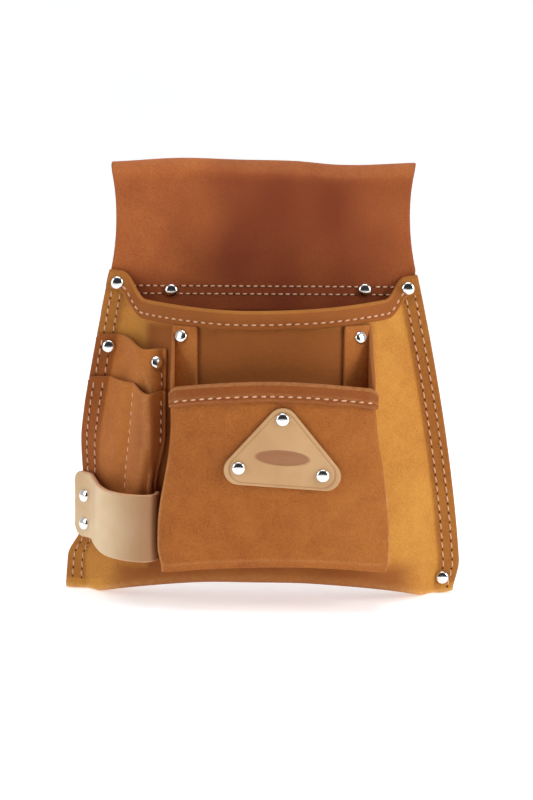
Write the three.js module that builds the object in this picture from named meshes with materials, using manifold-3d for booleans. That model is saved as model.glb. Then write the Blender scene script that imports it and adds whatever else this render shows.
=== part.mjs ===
// Electrician's leather tool pouch, standing on its lower corners. Millimetres, +Z up, front towards -Y.
// Every leather piece is a closed solid of its own. Depths are measured forwards from the seam plane.
import * as THREE from 'three';
import { mergeVertices } from 'three/addons/utils/BufferGeometryUtils.js';
import Module from 'manifold-3d';

const wasm = await Module();
wasm.setup();

// ---- driving dimensions -------------------------------------------------------------------------
const LEATHER = 2.4;             // thickness of the body, pocket and badge leather
const STRAP_LEATHER = 3.2;       // thickness of the tool strap
const GAP = 0.3;                 // air left between two pieces that touch
const LAYER = LEATHER + GAP;     // depth that one more layer of leather takes
const SEAM_WIDTH = 14;           // flat side seam, from its stitched edge inwards
const BASE_HALF_WIDTH = 138.5;   // half width at the foot
const TAPER = 33.2;              // how much narrower the half width gets at the rim corners
const TAPER_POWER = 1.52;        // above 1, the sides narrow faster towards the rim
const BODY_TOP = 222;            // top edge of the back panel
const RIM_MID = 203.5;           // main rim at the middle
const RIM_SAG = 3.5;             // gentle climb of the rim at 80 mm from the middle
const RIM_RISE_LEFT = 16.5;      // steep climb to each corner
const RIM_RISE_RIGHT = 13.5;
const HEM = 12.5;                // width of the folded hems
const BELLY = 46;                // how far the front panel stands off the back panel
const ARCH = 15.5;               // how high the bottom fold arches between the two feet
const ARCH_REACH = 114;          // from the middle to each foot
const LEAN = 0.06;               // backward lean, as depth per height
const CURL = 0.65;               // slope of the left side seam where it curls backwards
const CURL_WIDTH = 21;           // how far the curl reaches inwards from the stitched edge
const PINCH = 6.5;               // how far the tool strap pulls the left edge inwards
const TUCK = 5;                  // how far the lower right corner turns inwards
const TUNNEL_TOP = 302;          // top fold of the belt tunnel
const TUNNEL_END = 203;          // lower ends of both leaves of the belt tunnel
const TUNNEL_OPEN = 228;         // height where the two leaves part to let the belt through
const RIVET_CAP = 4.6;           // radius of a rivet's cap
const RIVET_POST = 1.3;
const RIVET_HOLE = 1.75;
const THREAD = 0.45;             // half width of a seam's thread

const clamp = (v, low = 0, high = 1) => Math.min(high, Math.max(low, v));
const lerp = (a, b, t) => a + (b - a) * t;
const smooth = (t) => clamp(t) ** 2 * (3 - 2 * clamp(t));

// ---- the body's shape ---------------------------------------------------------------------------
const halfWidth = (z) => BASE_HALF_WIDTH - TAPER * (Math.max(z, 0) / 226) ** TAPER_POWER;

// Sideways place of a column of the body at one height: u runs from -1 to 1, and the flat side
// seams start at SEAM_SHARE on every piece, so that layers stay parallel.
const SEAM_SHARE = 0.9;
function across(u, z) {
  const inner = halfWidth(z) - SEAM_WIDTH;
  const share = Math.abs(u) / SEAM_SHARE;
  if (share <= 1) return Math.sign(u) * share * inner;
  return Math.sign(u) * (inner + (SEAM_WIDTH * (Math.abs(u) - SEAM_SHARE)) / (1 - SEAM_SHARE));
}

// The main rim hangs nearly level, then climbs steeply to each corner.
function rimHeight(u) {
  const x = Math.abs(across(u, 215));
  const rise = u < 0 ? RIM_RISE_LEFT : RIM_RISE_RIGHT;
  return RIM_MID + RIM_SAG * (x / 80) ** 2 + rise * smooth((x - 78) / 22);
}

// Height of the bottom fold: arched in the middle, flat at the feet, rounded at the outer corners.
function footHeight(u) {
  const x = across(u, 0);
  const arch = ARCH * Math.max(0, 1 - (Math.abs(x) / ARCH_REACH) ** 2.4);
  const corner = 1.5 * (Math.max(0, Math.abs(x) - 128) / 10) ** 2;
  return arch + corner;
}

// How far the front panel stands off the back panel, zero along the side seams.
function belly(x, z) {
  const share = clamp(Math.abs(x) / (halfWidth(z) - SEAM_WIDTH));
  const low = smooth((205 - z) / 60);
  return BELLY * (1 - share ** lerp(2.2, 3.0, low)) ** lerp(1.1, 1.0, low);
}

// Outer depth of the front panel. Near its rim it passes in front of the tunnel's leaf.
const frontOuter = (x, z) => LAYER + LAYER * smooth((z - 190) / 11) + belly(x, z);

// Backward shift that the whole pouch shares: it leans, and its left side seam curls.
function settle(x, z) {
  const beyond = Math.max(0, -x - (halfWidth(z) - CURL_WIDTH));
  const bend = beyond < 6 ? beyond ** 2 / 12 : beyond - 3;
  return LEAN * z + CURL * bend * smooth((140 - z) / 40);
}

// Sideways shift that the whole pouch shares: the strap pinches the left edge, the right corner tucks in.
function draw(x, z) {
  const share = Math.max(0, Math.abs(x) - 90) / 45;
  const pinch = PINCH * smooth((z - 23) / 17) * smooth((115 - z) / 45);
  return x < 0 ? x + pinch * share : x - TUCK * smooth((25 - z) / 25) * share;
}

const place = (x, depth, z) => new THREE.Vector3(draw(x, z), settle(x, z) - depth, z);

// ---- solids -------------------------------------------------------------------------------------
function solid(vertices, triangles) {
  let volume = 0;
  for (const [a, b, c] of triangles) {
    volume += vertices[a].dot(new THREE.Vector3().crossVectors(vertices[b], vertices[c]));
  }
  const geometry = new THREE.BufferGeometry().setFromPoints(vertices);
  geometry.setIndex(triangles.flatMap(([a, b, c]) => (volume > 0 ? [a, b, c] : [a, c, b])));
  return geometry;
}

// Closes two grids of points, one on each side of a sheet of leather, into one solid.
function sheet(outer, inner) {
  const rows = outer.length;
  const columns = outer[0].length;
  const vertices = [...outer.flat(), ...inner.flat()];
  const front = (r, c) => r * columns + c;
  const back = (r, c) => rows * columns + front(r, c);
  const triangles = [];
  const quad = (a, b, c, d) => triangles.push([a, b, c], [a, c, d]);
  for (let r = 0; r < rows - 1; r++) {
    for (let c = 0; c < columns - 1; c++) {
      quad(front(r, c), front(r, c + 1), front(r + 1, c + 1), front(r + 1, c));
      quad(back(r, c), back(r + 1, c), back(r + 1, c + 1), back(r, c + 1));
    }
    quad(front(r, 0), front(r + 1, 0), back(r + 1, 0), back(r, 0));
    quad(front(r, columns - 1), back(r, columns - 1), back(r + 1, columns - 1), front(r + 1, columns - 1));
  }
  for (let c = 0; c < columns - 1; c++) {
    quad(front(0, c), back(0, c), back(0, c + 1), front(0, c + 1));
    quad(front(rows - 1, c), front(rows - 1, c + 1), back(rows - 1, c + 1), back(rows - 1, c));
  }
  return solid(vertices, triangles);
}

const steps = (count) => Array.from({ length: count + 1 }, (_, i) => i / count);

// three.js geometry to a closed solid that booleans accept, and back.
function toManifold(geometry) {
  const bare = geometry.clone();
  bare.deleteAttribute('normal');
  bare.deleteAttribute('uv');
  const merged = mergeVertices(bare, 1e-4);
  const index = Array.from(merged.index.array);
  const kept = [];
  for (let i = 0; i < index.length; i += 3) {
    const [a, b, c] = index.slice(i, i + 3);
    if (a !== b && b !== c && c !== a) kept.push(a, b, c);
  }
  const vertProperties = new Float32Array(merged.attributes.position.array);
  return new wasm.Manifold(new wasm.Mesh({ numProp: 3, vertProperties, triVerts: new Uint32Array(kept) }));
}

function fromManifold(manifold) {
  const { vertProperties, triVerts } = manifold.getMesh();
  const geometry = new THREE.BufferGeometry();
  geometry.setAttribute('position', new THREE.BufferAttribute(new Float32Array(vertProperties), 3));
  geometry.setIndex(Array.from(triVerts));
  return geometry;
}

// ---- body panels --------------------------------------------------------------------------------
// Half depth and height of the bottom fold, at the front panel's outer side.
function bottomFold(u) {
  const ground = footHeight(u);
  const frontDepth = frontOuter(across(u, ground + 20), ground + 20);
  const rear = LEATHER + LAYER;
  const halfDepth = (frontDepth + rear) / 2;
  return { ground, halfDepth, middle: (frontDepth - rear) / 2, height: 4 + 0.55 * halfDepth };
}

// Columns and heights that every layer of the body shares.
const HALF_COLUMNS = [0.12, 0.24, 0.36, 0.47, 0.57, 0.66, 0.74, 0.81, 0.864, 0.9, 0.95, 1];
const COLUMNS = [...HALF_COLUMNS.map((u) => -u).toReversed(), 0, ...HALF_COLUMNS];
const LEVELS = [184, 172, 160, 148, 136, 124, 112, 100, 88, 76, 64, 52, 40];

function frontPanel() {
  const hemRows = [0, HEM / 2, HEM, HEM + 0.4];
  const foldTurns = [0, 0.1, 0.22, 0.38, 0.62, 0.78, 0.9, 1];
  const lapRows = [7, 14];
  const outer = [];
  const inner = [];
  const wallRow = (heightOf, hem) => {
    const wall = (inset) => COLUMNS.map((u) => {
      const z = heightOf(u);
      const x = across(u, z);
      return place(x, frontOuter(x, z) - inset, z);
    });
    outer.push(wall(-hem));
    inner.push(wall(LEATHER));
  };
  for (const below of hemRows) {
    wallRow((u) => rimHeight(u) - below, below > HEM ? 0 : LAYER);
  }
  for (const share of [1 / 3, 2 / 3]) {
    wallRow((u) => lerp(rimHeight(u) - HEM, LEVELS[0], share), 0);
  }
  LEVELS.forEach((z) => wallRow(() => z, 0));
  wallRow((u) => lerp(LEVELS.at(-1), bottomFold(u).ground + bottomFold(u).height, 0.5), 0);
  for (const turn of foldTurns) {
    const angle = turn * Math.PI;
    const around = (inset) => COLUMNS.map((u) => {
      const fold = bottomFold(u);
      const forwards = Math.sign(Math.cos(angle)) * Math.abs(Math.cos(angle)) ** 0.55;
      const down = Math.abs(Math.sin(angle)) ** 0.55;
      const z = fold.ground + fold.height - (fold.height - inset) * down;
      return place(across(u, z), fold.middle + (fold.halfDepth - inset) * forwards, z);
    });
    outer.push(around(0));
    inner.push(around(LEATHER));
  }
  for (const rise of lapRows) {
    const lap = (depth) => COLUMNS.map((u) => {
      const z = bottomFold(u).ground + bottomFold(u).height + rise;
      return place(across(u, z), depth, z);
    });
    outer.push(lap(-LEATHER - LAYER));
    inner.push(lap(-LAYER));
  }
  return sheet(outer, inner);
}

function backPanel() {
  const foot = (u) => bottomFold(u).ground + bottomFold(u).height;
  const heights = [BODY_TOP, 203, ...LEVELS].map((z) => () => z);
  const low = LEVELS.at(-1);
  heights.push((u) => lerp(low, foot(u), 0.5), (u) => lerp(foot(u), low, 0.01));
  const side = (depth) => heights.map((heightOf) => (
    COLUMNS.map((u) => place(across(u, heightOf(u)), depth, heightOf(u)))
  ));
  return sheet(side(0), side(-LEATHER));
}

// ---- belt tunnel: one strip folded over at the top, both ends stitched to the back panel ---------
const tunnelHalfWidth = (z) => Math.min(104.5, 100.2 + 4 * ((z - 265) / 37) ** 2);

function beltTunnel() {
  const leafHeights = [TUNNEL_END, 212, 220, TUNNEL_OPEN, 232, 237, 242, 256, 270, 282, 292];
  const parting = (z) => smooth((z - TUNNEL_OPEN) / 14);
  const frontLeaf = (z) => LAYER + 7 * parting(z);
  const rearLeaf = (z) => -LAYER - LEATHER - 4 * parting(z);
  const top = leafHeights.at(-1);
  const foldHalfDepth = (frontLeaf(top) - rearLeaf(top)) / 2;
  const foldMiddle = (frontLeaf(top) + rearLeaf(top)) / 2;
  const profile = (inset) => {
    const front = leafHeights.map((z) => [frontLeaf(z) - inset, z]);
    const crown = [0.17, 0.34, 0.5, 0.66, 0.83].map((turn) => [
      foldMiddle + (foldHalfDepth - inset) * Math.cos(turn * Math.PI),
      top + (TUNNEL_TOP - top - inset) * Math.sin(turn * Math.PI),
    ]);
    const rear = leafHeights.toReversed().map((z) => [rearLeaf(z) + inset, z]);
    return [...front, ...crown, ...rear];
  };
  const side = (inset) => profile(inset).map(([depth, z]) => (
    steps(8).map((t) => place((2 * t - 1) * tunnelHalfWidth(z), depth, z))
  ));
  return sheet(side(0), side(LEATHER));
}

// ---- tool pockets on the left half --------------------------------------------------------------
const POCKET_FOOT = 40;          // lower edge of both tool pockets, behind the strap
const UPPER_SWELL = 13;          // how far the upper tool pocket gapes at its mouth
const LOWER_SWELL = 10.5;        // the same for each slot of the lower one
const pocketRight = (z) => -64 - 7 * smooth((120 - z) / 40);
const slotStitch = (z) => lerp(-94, -86.5, smooth((z - 60) / 95));

const swell = (x, left, right) => Math.sin(Math.PI * clamp((x - left) / (right - left)));

function upperOuter(x, z) {
  const fade = lerp(0.3, 1, smooth((z - 40) / 130));
  const share = swell(x, SEAM_WIDTH - halfWidth(z), pocketRight(z) - 11);
  return frontOuter(x, z) + LAYER + UPPER_SWELL * fade * share;
}

function lowerOuter(x, z) {
  const fade = lerp(0.3, 1, smooth((z - 40) / 100));
  const left = swell(x, SEAM_WIDTH - halfWidth(z), slotStitch(z));
  const right = swell(x, slotStitch(z), pocketRight(z) - 6);
  return upperOuter(x, z) + LAYER + LOWER_SWELL * fade * (left + right);
}

// Both pockets share their columns, with one on the stitches that divide the slots.
function pocketColumns(z) {
  const seamSide = COLUMNS.slice(0, 5).map((u) => across(u, z));
  const divide = slotStitch(z);
  const toDivide = [0.33, 0.67, 1].map((t) => lerp(seamSide.at(-1), divide, t));
  const toEdge = [0.2, 0.4, 0.6, 0.8, 1].map((t) => lerp(divide, pocketRight(z) - 6, t));
  return [...seamSide, ...toDivide, ...toEdge, pocketRight(z)];
}

function toolPocket(outerDepth, topEdge) {
  const topRow = pocketColumns(150).map(topEdge);
  const lowest = Math.min(...topRow);
  const rows = [topRow, ...LEVELS.filter((z) => z < lowest - 3 && z >= POCKET_FOOT).map((z) => topRow.map(() => z))];
  const side = (inset) => rows.map((heights) => heights.map((z, i) => {
    const x = pocketColumns(z)[i];
    return place(x, outerDepth(x, z) - inset, z);
  }));
  return sheet(side(0), side(LEATHER));
}

const upperTopEdge = (x) => lerp(180.5, 174.6, smooth((x + 95) / 15));
const lowerTopEdge = (x) => lerp(151.5, 147, smooth((x + 87) / 15));

// ---- tool strap: a tab on the side seam, a band standing clear of the pockets, an end in the seam --
function toolStrap() {
  const route = new THREE.CatmullRomCurve3([
    [-139, 10.2], [-129.5, 10.2], [-124, 11.8], [-119.5, 21], [-111.8, 35], [-101.5, 46], [-91, 53],
    [-81, 56.4], [-74.5, 56.4], [-70.6, 53], [-69.3, 48.5], [-69.1, 43.6],
  ].map(([x, depth]) => new THREE.Vector3(x, depth, 0)), false, 'centripetal');
  const stations = steps(26).map((t) => ({ at: route.getPointAt(t), along: route.getTangentAt(t) }));
  const top = (x) => lerp(82, 79, smooth((x + 128) / 24)) - 3 * smooth((-135 - x) / 4);
  const bottom = (x) => lerp(39, 34.9, smooth((x + 126) / 22)) + 3 * smooth((-135 - x) / 4);
  const side = (offset) => steps(4).map((v) => stations.map(({ at, along }) => {
    const x = at.x - along.y * offset;
    const depth = at.y + along.x * offset;
    return place(x, depth, lerp(top(at.x), bottom(at.x), v));
  }));
  return sheet(side(STRAP_LEATHER / 2), side(-STRAP_LEATHER / 2));
}

// ---- front pocket: a face, two sides and two inward flanges folded from one piece ------------------
const FACE_RIM = 154;            // face rim at its ends
const FACE_RIM_BOW = 5.5;        // how much higher the rim is in the middle
const FLANGE_TOP = 191;          // top of the flanges on the front panel
const CREASE_LEFT = -60;
const CREASE_RIGHT = 75;
const FLANGE_WIDTH = 18;
const FACE_FOOT = 28;
const faceLeft = (z) => -58 - 10.5 * smooth((130 - z) / 75) + 2.5 * smooth((45 - z) / 15);
const faceRight = (z) => 79 + 11 * smooth((150 - z) / 95) - 6 * smooth((50 - z) / 20);
const faceShare = (x, z) => (2 * x - faceLeft(z) - faceRight(z)) / (faceRight(z) - faceLeft(z));
const faceRim = (x) => FACE_RIM + FACE_RIM_BOW * (1 - clamp(Math.abs(faceShare(x, FACE_RIM))) ** 2);
function faceFoot(x) {
  const share = clamp(faceShare(x, FACE_FOOT), -1, 1);
  return FACE_FOOT + share + 5.3 * (1 - share ** 2);
}

function faceOuter(x, z) {
  const height = clamp((z - FACE_FOOT) / (FACE_RIM - FACE_FOOT));
  const bow = 1 - clamp(Math.abs(faceShare(x, z))) ** 4;
  return lerp(59, 62, height) + lerp(4, 8, height) * bow;
}

// The route across the piece at one height: x, depth, and how far it has come from panel to face.
function pocketRoute(z) {
  const half = (crease, corner, sign) => {
    const panel = (x) => frontOuter(x, Math.min(z, 192)) + 2.5 * GAP;
    const base = panel(crease);
    const front = faceOuter(corner, z);
    const wall = (t) => lerp(crease, corner, t);
    return [
      [crease + sign * FLANGE_WIDTH, panel(crease + sign * FLANGE_WIDTH), 0],
      [crease + sign * 11, panel(crease + sign * 11), 0],
      [crease + sign * 4, panel(crease + sign * 4), 0],
      [crease + sign * 1.2, base + 0.6, 0],
      [wall(0.12), base + 2.8, 0.12],
      [wall(0.5), lerp(base, front, 0.5), 0.5],
      [wall(0.85), front - 3.2, 0.85],
      [corner + sign * 1, front - 0.9, 0.97],
      [corner + sign * 4, front + 0.6, 1],
    ];
  };
  const left = half(CREASE_LEFT, faceLeft(z), 1);
  const right = half(CREASE_RIGHT, faceRight(z), -1);
  const face = [0.1, 0.22, 0.36, 0.5, 0.64, 0.78, 0.9].map((t) => {
    const x = lerp(faceLeft(z), faceRight(z), t);
    return [x, faceOuter(x, z), 1];
  });
  return [...left, ...face, ...right.toReversed()];
}

// The point beside a station of a route, a given distance to its right.
function beside(route, i, distance) {
  const ahead = route[Math.min(i + 1, route.length - 1)];
  const behind = route[Math.max(i - 1, 0)];
  const run = Math.hypot(ahead[0] - behind[0], ahead[1] - behind[1]);
  const x = route[i][0] + (distance * (ahead[1] - behind[1])) / run;
  const depth = route[i][1] - (distance * (ahead[0] - behind[0])) / run;
  return [x, depth];
}

function frontPocket() {
  const stations = pocketRoute(FACE_RIM);
  const rows = [0, 0.05, 0.101, 0.104, 0.2, 0.34, 0.5, 0.66, 0.82, 0.93, 1];
  const side = (inset, hem) => rows.map((v) => stations.map(([x, , forwards], i) => {
    const top = lerp(FLANGE_TOP, faceRim(x), forwards);
    const z = lerp(top, faceFoot(x), v);
    const extra = forwards === 1 && v < 0.102 ? hem : 0;
    const [sx, depth] = beside(pocketRoute(z), i, inset - extra);
    return place(sx, depth, z);
  }));
  const wrap = sheet(side(0, LAYER), side(LEATHER, 0));
  const floor = (lift) => steps(4).map((v) => steps(10).map((t) => {
    const x = lerp(faceLeft(FACE_FOOT) + 1.5, faceRight(FACE_FOOT) - 1.5, t);
    const z = faceFoot(x) + lift;
    return place(x, lerp(faceOuter(x, z) - 1.2, frontOuter(x, z) + GAP, v), z);
  }));
  return fromManifold(toManifold(wrap).add(toManifold(sheet(floor(0.2), floor(LEATHER + 0.2)))));
}

// ---- badge: a rounded triangle held by three rivets --------------------------------------------------
const BADGE_CORNERS = [[17.3, 134.8], [-12, 101.8], [44, 97.3]];
const BADGE_RADIUS = 9.5;
const badgeBack = (x, z) => Math.max(faceOuter(15, z), faceOuter(x, z)) + 0.45;

function badge() {
  const outline = new THREE.Shape();
  BADGE_CORNERS.forEach(([x, z], i) => {
    const [nx, nz] = BADGE_CORNERS[(i + 1) % 3];
    const [px, pz] = BADGE_CORNERS[(i + 2) % 3];
    const from = Math.atan2(z - pz, x - px) - Math.PI / 2;
    const to = Math.atan2(nz - z, nx - x) - Math.PI / 2;
    outline.absarc(x, z, BADGE_RADIUS, from, to, false);
  });
  const plate = new THREE.ExtrudeGeometry(outline, { depth: LEATHER, bevelEnabled: false, curveSegments: 6 });
  const spots = plate.attributes.position;
  for (let i = 0; i < spots.count; i++) {
    const [x, z, lift] = [spots.getX(i), spots.getY(i), spots.getZ(i)];
    const spot = place(x, badgeBack(x, z) + lift, z);
    spots.setXYZ(i, spot.x, spot.y, spot.z);
  }
  return plate;
}

// ---- rivets: a domed cap in front, a post through the leather, a flat cap behind ------------------
const tunnelFront = () => LAYER;
const cornerFront = (x, z) => frontOuter(x, z) + LAYER;
const flangeFront = (x, z) => frontOuter(x, z) + LAYER + 2.5 * GAP;
const badgeFront = (x, z) => badgeBack(x, z) + LEATHER;
const strapFront = (x, z) => lowerOuter(x, z) + GAP + STRAP_LEATHER + 0.3;
const REAR = LEATHER;
const REAR_LEAF = LEATHER + LAYER;

const RIVETS = [
  { name: 'rivet_tunnel_left', x: -63.4, z: 211.4, front: tunnelFront, rear: REAR_LEAF,
    through: ['belt_tunnel', 'back_panel'] },
  { name: 'rivet_tunnel_right', x: 70.7, z: 212.4, front: tunnelFront, rear: REAR_LEAF,
    through: ['belt_tunnel', 'back_panel'] },
  { name: 'rivet_corner_left', x: -100.3, z: 217.2, front: cornerFront, rear: REAR_LEAF,
    through: ['front_panel', 'belt_tunnel', 'back_panel'] },
  { name: 'rivet_corner_right', x: 100.3, z: 214.4, front: cornerFront, rear: REAR_LEAF,
    through: ['front_panel', 'belt_tunnel', 'back_panel'] },
  { name: 'rivet_flange_left', x: -53, z: 184.6, front: flangeFront, under: 2 * LAYER + 1.6,
    through: ['front_pocket', 'front_panel'] },
  { name: 'rivet_flange_right', x: 68, z: 183.6, front: flangeFront, under: 2 * LAYER + 1.6,
    through: ['front_pocket', 'front_panel'] },
  { name: 'rivet_tool_pocket_left', x: -107, z: 172.6, front: upperOuter, rear: REAR,
    through: ['upper_tool_pocket', 'front_panel', 'back_panel'] },
  { name: 'rivet_tool_pocket_right', x: -69.6, z: 166.6, front: upperOuter, under: 2 * LAYER,
    through: ['upper_tool_pocket', 'front_panel'] },
  { name: 'rivet_strap_upper', x: -131, z: 66.5, front: strapFront, rear: REAR,
    through: ['tool_strap', 'lower_tool_pocket', 'upper_tool_pocket', 'front_panel', 'back_panel'] },
  { name: 'rivet_strap_lower', x: -131, z: 47, front: strapFront, rear: REAR,
    through: ['tool_strap', 'lower_tool_pocket', 'upper_tool_pocket', 'front_panel', 'back_panel'] },
  { name: 'rivet_foot_right', x: 128.8, z: 12, front: frontOuter, rear: REAR_LEAF,
    through: ['front_panel', 'back_panel'] },
  ...BADGE_CORNERS.map(([x, z], i) => ({
    name: `rivet_badge_${i + 1}`, x, z, front: badgeFront, under: 2 * LAYER + 0.4,
    through: ['badge', 'front_pocket'] })),
];

function rivetFrame({ x, z, front, rear, under }) {
  const surface = (px, pz) => place(px, front(px, pz), pz);
  const STEP = 2.5;
  const sideways = surface(x + STEP, z).sub(surface(x - STEP, z));
  const upwards = surface(x, z + STEP).sub(surface(x, z - STEP));
  const normal = sideways.cross(upwards).normalize();
  const depth = under ?? front(x, z) + rear;
  const turn = new THREE.Quaternion().setFromUnitVectors(new THREE.Vector3(0, 1, 0), normal);
  return { at: surface(x, z), normal, turn, grip: -depth * normal.y };
}

function rivet(frame) {
  const rear = -frame.grip - 2 * GAP;
  const profile = [
    [0, rear - 1.4], [2.4, rear - 1.2], [4, rear - 0.6], [4, rear], [RIVET_POST, rear],
    [RIVET_POST, 0], [RIVET_CAP, 0], [RIVET_CAP, 0.5], [3.6, 1.5], [2, 2.1], [0, 2.3],
  ].map(([r, h]) => new THREE.Vector2(r, h));
  const geometry = new THREE.LatheGeometry(profile, 10);
  geometry.applyQuaternion(frame.turn);
  const base = frame.at.clone().addScaledVector(frame.normal, GAP);
  geometry.translate(base.x, base.y, base.z);
  return fromManifold(toManifold(geometry));
}

function rivetHole(frame) {
  const length = frame.grip + 4;
  const geometry = new THREE.CylinderGeometry(RIVET_HOLE, RIVET_HOLE, length, 8);
  geometry.translate(0, 2 - length / 2, 0);
  geometry.applyQuaternion(frame.turn);
  geometry.translate(frame.at.x, frame.at.y, frame.at.z);
  return toManifold(geometry);
}

// ---- seams: a plain thread lying on the leather along each row of stitches -----------------------
function seam(route, depthAt, lift = 0.95) {
  const points = steps(22).map((t) => {
    const [x, z] = route(t);
    return place(x, depthAt(x, z) + lift, z);
  });
  const section = new THREE.Shape([
    new THREE.Vector2(THREAD, 0), new THREE.Vector2(0, THREAD),
    new THREE.Vector2(-THREAD, 0), new THREE.Vector2(0, -THREAD)]);
  const extrudePath = new THREE.CatmullRomCurve3(points);
  return new THREE.ExtrudeGeometry(section, { steps: 28, extrudePath });
}

const row = (z, from, to) => (t) => [lerp(from, to, t), z];
const sideRow = (side, inset, high, low) => (t) => {
  const z = lerp(high, low, t);
  return [side * (halfWidth(z) - inset), z];
};
const rimRow = (below) => (t) => {
  const u = lerp(-0.86, 0.86, t);
  const z = rimHeight(u) - below;
  return [across(u, z), z];
};
const faceRow = (below) => (t) => {
  const x = lerp(faceLeft(FACE_RIM) + 5, faceRight(FACE_RIM) - 5, t);
  return [x, faceRim(x) - below];
};

const SEAMS = {
  thread_left_outer_top: [sideRow(-1, 4, 202, 183.5), frontOuter],
  thread_left_outer: [sideRow(-1, 4, 149.5, 84.5), lowerOuter, 1.2],
  thread_left_inner: [sideRow(-1, 10, 149.5, 86), lowerOuter],
  thread_left_foot: [sideRow(-1, 4, 36, 12), frontOuter],
  thread_right_outer: [sideRow(1, 4, 201, 22), frontOuter],
  thread_right_inner: [sideRow(1, 10, 201, 24), frontOuter],
  thread_tunnel_upper: [row(219.6, -90, 90), tunnelFront],
  thread_tunnel_lower: [row(205.6, -88, 88), tunnelFront],
  thread_rim_hem: [rimRow(HEM - 2.8), cornerFront],
  thread_pocket_hem: [faceRow(HEM - 2.8), (x, z) => faceOuter(x, z) + LAYER],
  thread_slot_divider: [(t) => [slotStitch(lerp(146, 80, t)), lerp(146, 80, t)], lowerOuter],
  thread_pocket_edge: [(t) => [pocketRight(lerp(143, 84, t)) + 2.4, lerp(143, 84, t)], lowerOuter],
};

// ---- materials and assembly ------------------------------------------------------------------------
const tone = (color, roughness, metalness = 0) => (
  () => new THREE.MeshStandardMaterial({ color, roughness, metalness })
);
const suede = tone(0xc48044, 0.85);
const darkSuede = tone(0xa8653a, 0.88);
const strapLeather = tone(0xdcb68c, 0.6);
const badgeLeather = tone(0xe0b88a, 0.55);
const nickel = tone(0xdadada, 0.15, 1);
const waxedThread = tone(0xe8bf98, 0.7);

const pieces = {
  back_panel: [backPanel(), darkSuede],
  front_panel: [frontPanel(), suede],
  belt_tunnel: [beltTunnel(), darkSuede],
  upper_tool_pocket: [toolPocket(upperOuter, upperTopEdge), suede],
  lower_tool_pocket: [toolPocket(lowerOuter, lowerTopEdge), suede],
  front_pocket: [frontPocket(), suede],
  badge: [badge(), badgeLeather],
  tool_strap: [toolStrap(), strapLeather],
};

const holes = Object.fromEntries(Object.keys(pieces).map((name) => [name, []]));
for (const spec of RIVETS) {
  const frame = rivetFrame(spec);
  spec.through.forEach((name) => holes[name].push(rivetHole(frame)));
  pieces[spec.name] = [rivet(frame), nickel];
}
for (const [name, cutters] of Object.entries(holes)) {
  const [geometry, material] = pieces[name];
  const cut = cutters.reduce((left, cutter) => left.subtract(cutter), toManifold(geometry));
  pieces[name] = [fromManifold(cut), material];
}
for (const [name, [route, depthAt, lift]] of Object.entries(SEAMS)) {
  pieces[name] = [fromManifold(toManifold(seam(route, depthAt, lift))), waxedThread];
}

const pouch = new THREE.Group();
for (const [name, [geometry, material]] of Object.entries(pieces)) {
  const mesh = new THREE.Mesh(geometry, material());
  mesh.name = name;
  pouch.add(mesh);
}

// The origin is the middle of the pouch's foot.
const extent = new THREE.Box3().setFromObject(pouch);
const middle = extent.getCenter(new THREE.Vector3());
pouch.position.set(-middle.x, -middle.y, -extent.min.z);
const group = new THREE.Group();
group.add(pouch);
export default group;
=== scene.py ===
"""The leather tool pouch's looks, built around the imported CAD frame. Lengths below are millimetres."""

import math

import bmesh
import bpy
import numpy as np
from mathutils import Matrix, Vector


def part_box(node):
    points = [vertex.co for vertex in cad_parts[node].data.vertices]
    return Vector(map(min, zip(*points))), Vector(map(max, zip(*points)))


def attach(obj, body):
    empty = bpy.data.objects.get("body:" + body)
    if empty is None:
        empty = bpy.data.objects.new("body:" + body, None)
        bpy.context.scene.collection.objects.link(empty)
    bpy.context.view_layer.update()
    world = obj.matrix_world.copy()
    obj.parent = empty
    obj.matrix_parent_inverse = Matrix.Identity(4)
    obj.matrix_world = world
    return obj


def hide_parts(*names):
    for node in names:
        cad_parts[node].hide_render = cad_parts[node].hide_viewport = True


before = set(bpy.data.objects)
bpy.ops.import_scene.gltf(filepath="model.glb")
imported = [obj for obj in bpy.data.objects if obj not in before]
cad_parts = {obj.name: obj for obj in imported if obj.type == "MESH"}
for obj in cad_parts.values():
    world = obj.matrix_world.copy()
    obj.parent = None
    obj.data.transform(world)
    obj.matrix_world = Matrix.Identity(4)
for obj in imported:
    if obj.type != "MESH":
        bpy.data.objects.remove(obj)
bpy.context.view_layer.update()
MM = 0.001

# ---- the pouch's driving sizes: the CAD's, apart from those with a comment --------------------
LEATHER = 2.4
STRAP_LEATHER = 3.2
GAP = 0.3
LAYER = LEATHER + GAP
SEAM_WIDTH = 14.0
BASE_HALF_WIDTH = 138.5
TAPER = 33.2
TAPER_POWER = 1.52
BODY_TOP = 222.0
RIM_MID = 203.5
RIM_SAG = 3.5
RIM_RISE_LEFT = 16.5
RIM_RISE_RIGHT = 13.5
HEM = 12.5
BELLY = 46.0
ARCH = 14.2  # 15.5 in the CAD
ARCH_REACH = 114.0
FLOOR_CLEARANCE = 0.3  # keeps the rounded foot above the floor
LEAN = 0.06
CURL = 0.65
CURL_WIDTH = 21.0
CURL_START = 45.0  # the curl fades out below this height, only here
PINCH = 6.5
TUCK = 5.0
TUNNEL_TOP = 302.0
TUNNEL_END = 203.0
TUNNEL_OPEN = 228.0
RIVET_CAP = 4.6
UPPER_SWELL = 13.0
LOWER_SWELL = 10.5
POCKET_FOOT = 40.0
FACE_RIM = 154.0
FACE_RIM_BOW = 5.5
FLANGE_TOP = 191.0
FLANGE_WIDTH = 18.0
CREASE_LEFT = -60.0
CREASE_RIGHT = 75.0
FACE_FOOT = 28.0
BADGE_CORNERS = ((17.3, 134.8), (-12, 101.8), (44, 97.3))
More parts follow.
